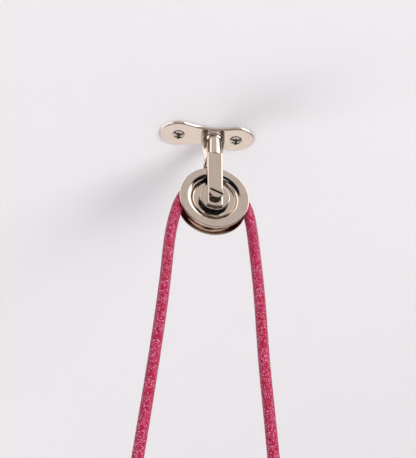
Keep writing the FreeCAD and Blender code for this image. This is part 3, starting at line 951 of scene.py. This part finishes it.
def disc_profile():
    """Half of the wheel, front side up: hub edge, sunk web, the fillet at its border, the shoulder's
    arc round the groove's centre, the flat rim, and back along the groove's own arc to the middle."""
    wheel, rim, groove, centre, web = wheel_sizes()
    fillet = 1.6
    # The fillet touches the web and, from inside, the shoulder's arc.
    reach = rim + fillet
    rise = web + fillet
    middle = centre - math.sqrt(reach**2 - rise**2)
    turned = math.acos(rise / reach)
    foot = [(middle + fillet * math.sin(a), rise - fillet * math.cos(a)) for a in np.linspace(0, turned, 12)]
    shoulder = [(centre - rim * math.sin(a), rim * math.cos(a)) for a in np.linspace(turned, 0, 28)]
    land = rounded([(centre, rim, 0), (wheel, rim, 0.5), (wheel, groove, 0.5), (centre, groove, 0)])
    hollow = [(centre - groove * math.cos(a), groove * math.sin(a)) for a in np.linspace(math.pi / 2, 0, 26)]
    return np.concatenate([[(BARREL, web)], foot, shoulder[1:], land[1:-1], hollow, [(BARREL, 0.0)]])


class PULLEY_OT_wheel(bpy.types.Operator):
    """Build the grooved wheel: two pressed discs, a flanged hub, its pressed-on ring and the bush"""

    bl_idname = "pulley.wheel"
    bl_label = "Wheel"

    def execute(self, context):
        web = wheel_sizes()[-1]
        low, high = node_box("sheave_hub")
        hub_half, flange, bore = high[1], (high[0] - low[0]) / 2, 4.0
        profile = disc_profile()
        for side, flip in (("front", 1), ("rear", -1)):
            piece = turned_piece(f"{side}_disc", on_axle, profile * np.array([1, flip]), 240)
            settle(piece, "sheave", "nickel_plate", nickel(), f"sheave_{side}_disc")

        hub = rounded(
            [(bore, -hub_half, 0.15), (BARREL, -hub_half, 0), (BARREL, web, 0), (flange, web, 0),
             (flange, hub_half, 0.6), (bore, hub_half, 0.25)],
            steps=8, closed=True,
        )
        piece = turned_piece("wheel_hub", on_axle, hub, 192)
        settle(piece, "sheave", "nickel_plate", nickel(), "sheave_hub")
        ring = ring_profile(BARREL, flange, -hub_half, -web, 0.1, 0.6, 0, 0, steps=8)
        piece = turned_piece("hub_ring", on_axle, ring, 192)
        settle(piece, "sheave", "nickel_plate", nickel(), "sheave_hub_ring")
        low, high = node_box("sheave_bush")
        bush = ring_profile(BORE, bore, low[1], high[1], 0.15, 0.2, 0.2, 0.15)
        piece = turned_piece("bearing_bush", on_axle, bush)
        bronze = bearing_bronze("bearing bronze", context.scene.pulley_finish.bronze)
        settle(piece, "sheave", "bush_bronze", bronze, "sheave_bush")
        return {"FINISHED"}


# ---- cord ----


def cord_line():
    """Points along the cord's smooth middle line, read from a spline through its route."""
    controls = LEFT_ROUTE[::-1] + OVER_WHEEL + RIGHT_ROUTE
    curve = bpy.data.curves.new("cord_line", "CURVE")
    curve.dimensions = "3D"
    curve.resolution_u = 64
    spline = curve.splines.new("NURBS")
    spline.points.add(len(controls) - 1)
    for point, (x, z) in zip(spline.points, controls):
        point.co = (x, 0.0, z, 1.0)
    spline.order_u = 3
    spline.use_endpoint_u = True
    holder = bpy.data.objects.new("cord_line", curve)
    bpy.context.scene.collection.objects.link(holder)
    bpy.context.view_layer.update()
    graph = bpy.context.evaluated_depsgraph_get()
    mesh = bpy.data.meshes.new_from_object(holder.evaluated_get(graph))
    line = np.zeros(len(mesh.vertices) * 3)
    mesh.vertices.foreach_get("co", line)
    bpy.data.objects.remove(holder)
    bpy.data.curves.remove(curve)
    bpy.data.meshes.remove(mesh)
    return line.reshape(-1, 3)


def braid(along, around, strands, lay, circumference):
    """How high the braid stands at a place on the cord, from 0 to 1. Each way's strands are bands of
    along / lay plus or minus around / circumference. They go over two and under two, and each strand is
    domed across its width."""
    turn = around / circumference
    first, second = (along / lay + turn) * strands, (along / lay - turn) * strands
    over = (np.floor(first) + np.floor(second)) % 4 < 2
    dome_first, dome_second = (np.sqrt(1 - (2 * (way % 1) - 1) ** 2) for way in (first, second))
    return np.where(over, dome_first, dome_second)


class PULLEY_OT_cord(bpy.types.Operator):
    """Build the braided cord over the wheel as a mesh tube with the braid's relief"""

    bl_idname = "pulley.cord"
    bl_label = "Cord"

    def execute(self, context):
        settings = context.scene.pulley_cord
        line = cord_line()
        steps = np.linalg.norm(np.diff(line, axis=0), axis=1)
        travelled = np.concatenate([[0], np.cumsum(steps)])
        total = travelled[-1]
        rows, columns = 1280, 72
        along = np.linspace(0, total, rows)
        centre = np.column_stack([np.interp(along, travelled, line[:, k]) for k in range(3)])
        tangent = np.gradient(centre, axis=0)
        tangent /= np.linalg.norm(tangent, axis=1)[:, None]
        depth = np.array([0.0, 1.0, 0.0])
        sideways = np.cross(tangent, depth)
        angle = np.linspace(0, 2 * math.pi, columns, endpoint=False)
        radius = settings.diameter / 2
        circumference = 2 * math.pi * radius
        height = braid(
            along[:, None], radius * angle[None, :], settings.strands, settings.lay_length, circumference
        )
        reach = radius - settings.relief * (1 - height)
        points = (
            centre[:, None, :]
            + reach[..., None] * np.cos(angle)[None, :, None] * sideways[:, None, :]
            + reach[..., None] * np.sin(angle)[None, :, None] * depth
        )
        ends = [np.repeat(centre[k][None, None, :], columns, axis=1) for k in (0, -1)]
        grid = np.concatenate([ends[0], points, ends[1]])
        faces = quads(rows + 2, columns)
        if volume_of(grid.reshape(-1, 3), faces) < 0:
            faces = faces[:, ::-1]
        mesh = bpy.data.meshes.new("braided_cord")
        mesh.from_pydata(grid.reshape(-1, 3), [], faces)
        uv = mesh.uv_layers.new(name="braid")
        row, column = faces // columns, faces % columns
        over_seam = column.max(axis=1, keepdims=True) == columns - 1
        column = np.where((column == 0) & over_seam, columns, column)
        u = np.concatenate([[0], along, [total]])[row] / total
        v = column / columns
        uv.data.foreach_set("uv", np.stack([u, v], axis=-1).astype(np.float32).ravel())
        weld(mesh, recalculate=False)
        piece = finish_piece("braided_cord", mesh, 80.0)
        material = braided_fabric(settings, total)
        settle(piece, "yoke_assembly", "braided_cord", material, "cord")
        return {"FINISHED"}


def braided_fabric(settings, total):
    """Fuchsia braid: each strand has its own tone, crimson and pale glitter strands among them, with fine
    fibres along the strands and painted shade in the gaps between yarns and between strands. The pattern
    follows the cord's own map, along and around."""
    material, tree, shader = new_material("braided fuchsia")
    coordinates = add_node(tree, "ShaderNodeUVMap", uv_map="braid").outputs["UV"]
    parts = add_node(tree, "ShaderNodeSeparateXYZ", {"Vector": coordinates})
    turns = times(tree, parts.outputs["X"], total / settings.lay_length)
    around = parts.outputs["Y"]
    strands = float(settings.strands)
    first = times(tree, plus(tree, turns, around), strands)
    second = times(tree, maths(tree, "SUBTRACT", turns, around), strands)
    index_first = maths(tree, "FLOOR", first)
    index_second = maths(tree, "FLOOR", second)
    beat = maths(tree, "FLOORED_MODULO", plus(tree, index_first, index_second), 4.0)
    over = maths(tree, "LESS_THAN", beat, 2.0)

    def pick(a, b):
        """a where the first way lies on top, else b."""
        node = add_node(tree, "ShaderNodeMix", data_type="FLOAT")
        tree.links.new(over, node.inputs[0])
        tree.links.new(b, node.inputs[2])
        tree.links.new(a, node.inputs[3])
        return node.outputs[0]

    def from_middle(part):
        """How far a part from 0 to 1 lies from its middle, from 0 to 1."""
        centred = maths(tree, "SUBTRACT", times(tree, part, 2.0), 1.0)
        return maths(tree, "ABSOLUTE", centred)

    def place_of(x, y, z):
        """A place in a pattern from three values."""
        return add_node(tree, "ShaderNodeCombineXYZ", {"X": x, "Y": y, "Z": z}).outputs[0]

    own_index = pick(index_first, plus(tree, index_second, 37.0))
    cross_index = pick(index_second, index_first)
    across = pick(maths(tree, "FRACT", first), maths(tree, "FRACT", second))
    along = pick(second, first)
    yarn = times(tree, across, 3.0)
    yarn_edge = from_middle(maths(tree, "FRACT", yarn))
    segment = maths(tree, "FLOOR", times(tree, along, 1.5))
    cell = place_of(own_index, segment, plus(tree, maths(tree, "FLOOR", yarn), cross_index))
    shade = add_node(tree, "ShaderNodeTexWhiteNoise", {"Vector": cell}, noise_dimensions="3D").outputs[0]
    fibre_across, fibre_along = times(tree, across, 14.0), times(tree, along, 1.6)
    fibres = noise(tree, place_of(fibre_across, fibre_along, own_index), 1.0, 3.0, Roughness=0.65)
    tone = plus(tree, times(tree, shade, 0.8), times(tree, fibres, 0.4))
    tint = mixed(tree, spread(tree, tone, 0.52, 0.62), rgba(settings.dark), rgba(settings.base))
    glint = spread(tree, tone, 0.85, 0.92)
    tint = mixed(tree, glint, tint, rgba(settings.light))
    # Painted shade: the gaps at the yarns' edges and at the strands' edges are darkened with the dark colour.
    tint = mixed(tree, spread(tree, yarn_edge, 0.6, 1.0, 0.0, 0.4), tint, rgba(settings.dark, 0.5))
    strand_edge = spread(tree, from_middle(across), 0.7, 1.0, 0.0, 0.6)
    tint = mixed(tree, strand_edge, tint, rgba(settings.dark, 0.35))
    rough = maths(tree, "SUBTRACT", 0.45, times(tree, glint, 0.3))
    round_yarn = maths(tree, "SUBTRACT", 1.0, times(tree, yarn_edge, yarn_edge))
    relief = plus(tree, round_yarn, times(tree, fibres, 0.5))
    dress(tree, shader, tint, rough, relief, 0.00006, 0.6)
    shader.inputs["Specular IOR Level"].default_value = 0.25
    shader.inputs["Sheen Weight"].default_value = 0.1
    shader.inputs["Sheen Roughness"].default_value = 0.4
    shader.inputs["Sheen Tint"].default_value = (1.0, 0.7, 0.85, 1.0)
    return material


# ---- end fittings ----


def cord_end_frame(side):
    """Where a side's cord ends, and the directions across and along it there, in millimetres."""
    route = LEFT_ROUTE if side < 0 else RIGHT_ROUTE
    (x1, z1), (x2, z2) = route[-2:]
    end = np.array([x2, 0, z2]) / MM
    down = np.array([x2 - x1, 0, z2 - z1])
    down /= np.linalg.norm(down)
    across = np.cross([0, 1, 0], down)
    return end, across, down


class PULLEY_OT_ends(bpy.types.Operator):
    """Build the crimped ferrule and the eye on each end of the cord"""

    bl_idname = "pulley.ends"
    bl_label = "Cord Ends"

    def execute(self, context):
        for side, name in ((-1, "left"), (1, "right")):
            end, across, down = cord_end_frame(side)

            def placed(points):
                """Points made round the upright axis, moved to the cord's end and hung along it."""
                return end + points @ np.array([across, (0.0, 1.0, 0.0), -down])

            outer, cord_radius, stem, mouth, base = 4.9, 3.5, 1.55, 9.0, -4.5
            crimps = [
                (outer - sunk, middle + rise, edge)
                for middle in (6.2, 2.7)
                for sunk, rise, edge in ((0, 0.7, 0.15), (0.45, 0.3, 0.3), (0.45, -0.3, 0.3), (0, -0.7, 0.15))
            ]
            profile = rounded(
                [(cord_radius, 0, 0), (cord_radius, mouth, 0.15), (outer - 0.5, mouth, 0.3),
                 (outer, mouth - 1.0, 0.3), *crimps, (outer, base + 1.0, 0.3), (outer - 1.0, base, 0.3),
                 (stem, base, 0.1), (stem, 0, 0)],
                closed=True,
            )
            ferrule = turned_piece(f"{name}_ferrule", placed, profile)
            settle(ferrule, "yoke_assembly", "end_fitting", nickel(), f"{name}_cord_ferrule")

            hole, wide, half_thick, drop = 4.5, 7.5, 1.7, 12.05
            ring = ring_profile(hole, wide, -half_thick, half_thick, 1.0, 1.2, 1.2, 1.0, steps=8)
            turned = lathe(ring, 128)
            upright = np.stack([turned[..., 0], turned[..., 2], turned[..., 1] - drop], axis=-1)
            eye = make_piece("ring_part", [(placed(upright), True)])
            post = rounded([(0, -0.05, 0), (1.5, -0.05, 0.2), (1.5, -4.6, 0.3), (2.3, -6.4, 0), (0, -6.4, 0)])
            stem_piece = turned_piece("stem_part", placed, post, 64, hollow=False)
            eye = united(f"{name}_eye", eye, [stem_piece], "UNION")
            settle(eye, "yoke_assembly", "end_fitting", nickel(), f"{name}_cord_eye")
        return {"FINISHED"}


# ---- studio ----


def one_sided_plaster(name, rgb):
    """Matt plaster that shows on the side that its face points to and is clear from the other."""
    material, tree, shader = new_material(name)
    dress(tree, shader, relief=noise(tree, own_place(tree), 900.0, 4.0), depth=0.00002)
    shader.inputs["Base Color"].default_value = rgba(rgb)
    shader.inputs["Roughness"].default_value = 0.9
    shader.inputs["Specular IOR Level"].default_value = 0.1
    clear = add_node(tree, "ShaderNodeBsdfTransparent")
    back = add_node(tree, "ShaderNodeNewGeometry").outputs["Backfacing"]
    both = add_node(tree, "ShaderNodeMixShader", {0: back, 1: shader.outputs[0], 2: clear.outputs[0]})
    output = next(n for n in tree.nodes if n.type == "OUTPUT_MATERIAL")
    tree.links.new(both.outputs[0], output.inputs["Surface"])
    return material


def flat_stage(name, half, height, material, faces_up):
    """A square backdrop at a height, facing up or down, that polished surfaces don't mirror."""
    corners = [(x * half, y * half, height) for x, y in ((-1, -1), (1, -1), (1, 1), (-1, 1))]
    mesh = bpy.data.meshes.new(name)
    mesh.from_pydata(corners, [], [(0, 1, 2, 3) if faces_up else (3, 2, 1, 0)])
    piece = bpy.data.objects.new(name, mesh)
    bpy.context.scene.collection.objects.link(piece)
    mesh.materials.append(material)
    piece.visible_glossy = False


def area_light(name, place, target, size, power):
    """A square soft light aimed at a target. Only matt surfaces show it, as polished ones mirror the
    surroundings."""
    data = bpy.data.lights.new(name, "AREA")
    data.size = size
    data.energy = power
    light = bpy.data.objects.new(name, data)
    bpy.context.scene.collection.objects.link(light)
    light.location = place
    light.rotation_euler = (Vector(target) - Vector(place)).to_track_quat("-Z", "Y").to_euler()
    light.visible_glossy = False


def studio_world():
    """Soft studio surroundings as a function of direction: a warm grey room, a bright tall screen on
    each side, a pale sweep below and behind, and darkness beyond the open front."""
    world = bpy.data.worlds.new("studio")
    bpy.context.scene.world = world
    world.use_nodes = True
    tree = world.node_tree
    tree.nodes.clear()
    output = tree.nodes.new("ShaderNodeOutputWorld")
    glow = tree.nodes.new("ShaderNodeBackground")
    tree.links.new(glow.outputs[0], output.inputs["Surface"])
    direction = add_node(tree, "ShaderNodeTexCoord").outputs["Generated"]
    parts = add_node(tree, "ShaderNodeSeparateXYZ", {"Vector": direction})
    x, y, z = (parts.outputs[k] for k in "XYZ")
    azimuth = maths(tree, "ARCTAN2", x, times(tree, y, -1.0))
    elevation = maths(tree, "ARCSINE", z)

    def band(source, low, high, soft):
        """1 between two angles in degrees, falling to 0 over soft degrees outside them."""
        low, high, soft = (math.radians(v) for v in (low, high, soft))
        rise = spread(tree, source, low - soft, low)
        fall = spread(tree, source, high, high + soft, 1.0, 0.0)
        return times(tree, rise, fall)

    def below(height, soft):
        """1 where the direction points lower than a height in degrees, from 0 soft degrees above it."""
        return spread(tree, elevation, math.radians(height + soft), math.radians(height))

    off_front = maths(tree, "ARCCOSINE", times(tree, y, -1.0))
    ring = times(tree, band(off_front, 25, 41, 3), band(elevation, -60, 3, 4))
    room, sweep, under = (0.73, 0.705, 0.70), (1.10, 1.07, 1.09), (0.05, 0.045, 0.05)
    dark, dim = (0.010, 0.011, 0.018), (0.20, 0.185, 0.19)
    left_screen, right_screen = (1.6, 1.58, 1.6), (2.6, 2.58, 2.6)
    tint = mixed(tree, below(-22, 10), rgba(room), rgba(sweep))
    tint = mixed(tree, below(-65, 8), tint, rgba(under))
    tint = mixed(tree, ring, tint, rgba(dark))
    for across, upright, soft, glow_rgb in (
        ((-40, 46), (-5, 25), 3, dark),
        ((-110, -60), (-60, 0), 8, dim),
        ((66, 120), (-60, 0), 8, dim),
        ((32, 92), (22, 64), 5, right_screen),
        ((-150, -52), (12, 64), 6, left_screen),
    ):
        patch = times(tree, band(azimuth, *across, soft), band(elevation, *upright, soft))
        tint = mixed(tree, patch, tint, rgba(glow_rgb))
    tree.links.new(tint, glow.inputs["Color"])
    glow.inputs["Strength"].default_value = 1.0


class PULLEY_OT_studio(bpy.types.Operator):
    """Build the ceiling, the floor, the lights and the camera"""

    bl_idname = "pulley.studio"
    bl_label = "Studio"

    def execute(self, context):
        studio = context.scene.pulley_studio
        context.scene.view_settings.view_transform = "Standard"
        plaster = one_sided_plaster("ceiling plaster", studio.ceiling)
        paint = one_sided_plaster("floor paint", studio.ceiling)
        flat_stage("ceiling", 3.0, 0.0, plaster, faces_up=False)
        flat_stage("floor", 9.0, -2.4, paint, faces_up=True)
        studio_world()
        area_light("key", (0.92, -1.73, -1.0), (0.0, 0.0, -0.03), 0.8, studio.key)
        area_light("fill", (-0.9, 1.2, -1.4), (0.0, 0.7, 0.0), 1.0, studio.fill)

        azimuth, elevation = studio.azimuth, studio.elevation
        back = Vector((
            math.sin(azimuth) * math.cos(elevation), -math.cos(azimuth) * math.cos(elevation),
            math.sin(elevation),
        ))
        right = Vector((math.cos(azimuth), math.sin(azimuth), 0.0))
        up = back.cross(right)
        aim_across, aim_up = 0.48 * MM, -61.0 * MM
        data = bpy.data.cameras.new("camera")
        data.lens = studio.lens
        data.sensor_width = 36.0
        camera = bpy.data.objects.new("camera", data)
        context.scene.collection.objects.link(camera)
        camera.matrix_world = Matrix.Translation(
            back * studio.distance + right * aim_across + up * aim_up
        ) @ Matrix((right, up, back)).transposed().to_4x4()
        context.scene.camera = camera
        return {"FINISHED"}


class PULLEY_PT_panel(bpy.types.Panel):
    """Lists the builders of the pulley's pieces and of its studio"""

    bl_idname = "PULLEY_PT_panel"
    bl_label = "Ceiling Pulley"
    bl_space_type = "VIEW_3D"
    bl_region_type = "UI"
    bl_category = "Pulley"

    def draw(self, context):
        for operator in OPERATORS:
            self.layout.operator(operator.bl_idname)
        for group in GROUPS:
            self.layout.label(text=group.__name__)
            settings = getattr(context.scene, GROUPS[group])
            for name in group.__annotations__:
                self.layout.prop(settings, name)


GROUPS = {
    PulleyShape: "pulley_shape",
    PulleyCord: "pulley_cord",
    PulleyFinish: "pulley_finish",
    PulleyStudio: "pulley_studio",
}
OPERATORS = (
    PULLEY_OT_studio,
    PULLEY_OT_plate,
    PULLEY_OT_screws,
    PULLEY_OT_swivel,
    PULLEY_OT_yoke,
    PULLEY_OT_axle,
    PULLEY_OT_wheel,
    PULLEY_OT_ends,
    PULLEY_OT_cord,
)


def register():
    for group, name in GROUPS.items():
        bpy.utils.register_class(group)
        setattr(bpy.types.Scene, name, PointerProperty(type=group))
    for item in (*OPERATORS, PULLEY_PT_panel):
        bpy.utils.register_class(item)


def unregister():
    for item in (PULLEY_PT_panel, *OPERATORS[::-1]):
        bpy.utils.unregister_class(item)
    for group, name in GROUPS.items():
        delattr(bpy.types.Scene, name)
        bpy.utils.unregister_class(group)


def main():
    """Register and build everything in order."""
    register()
    for operator in OPERATORS:
        group, name = operator.bl_idname.split(".")
        if getattr(getattr(bpy.ops, group), name)() != {"FINISHED"}:
            raise RuntimeError(f"{operator.bl_label} was not built")


if __name__ == "__main__":
    main()
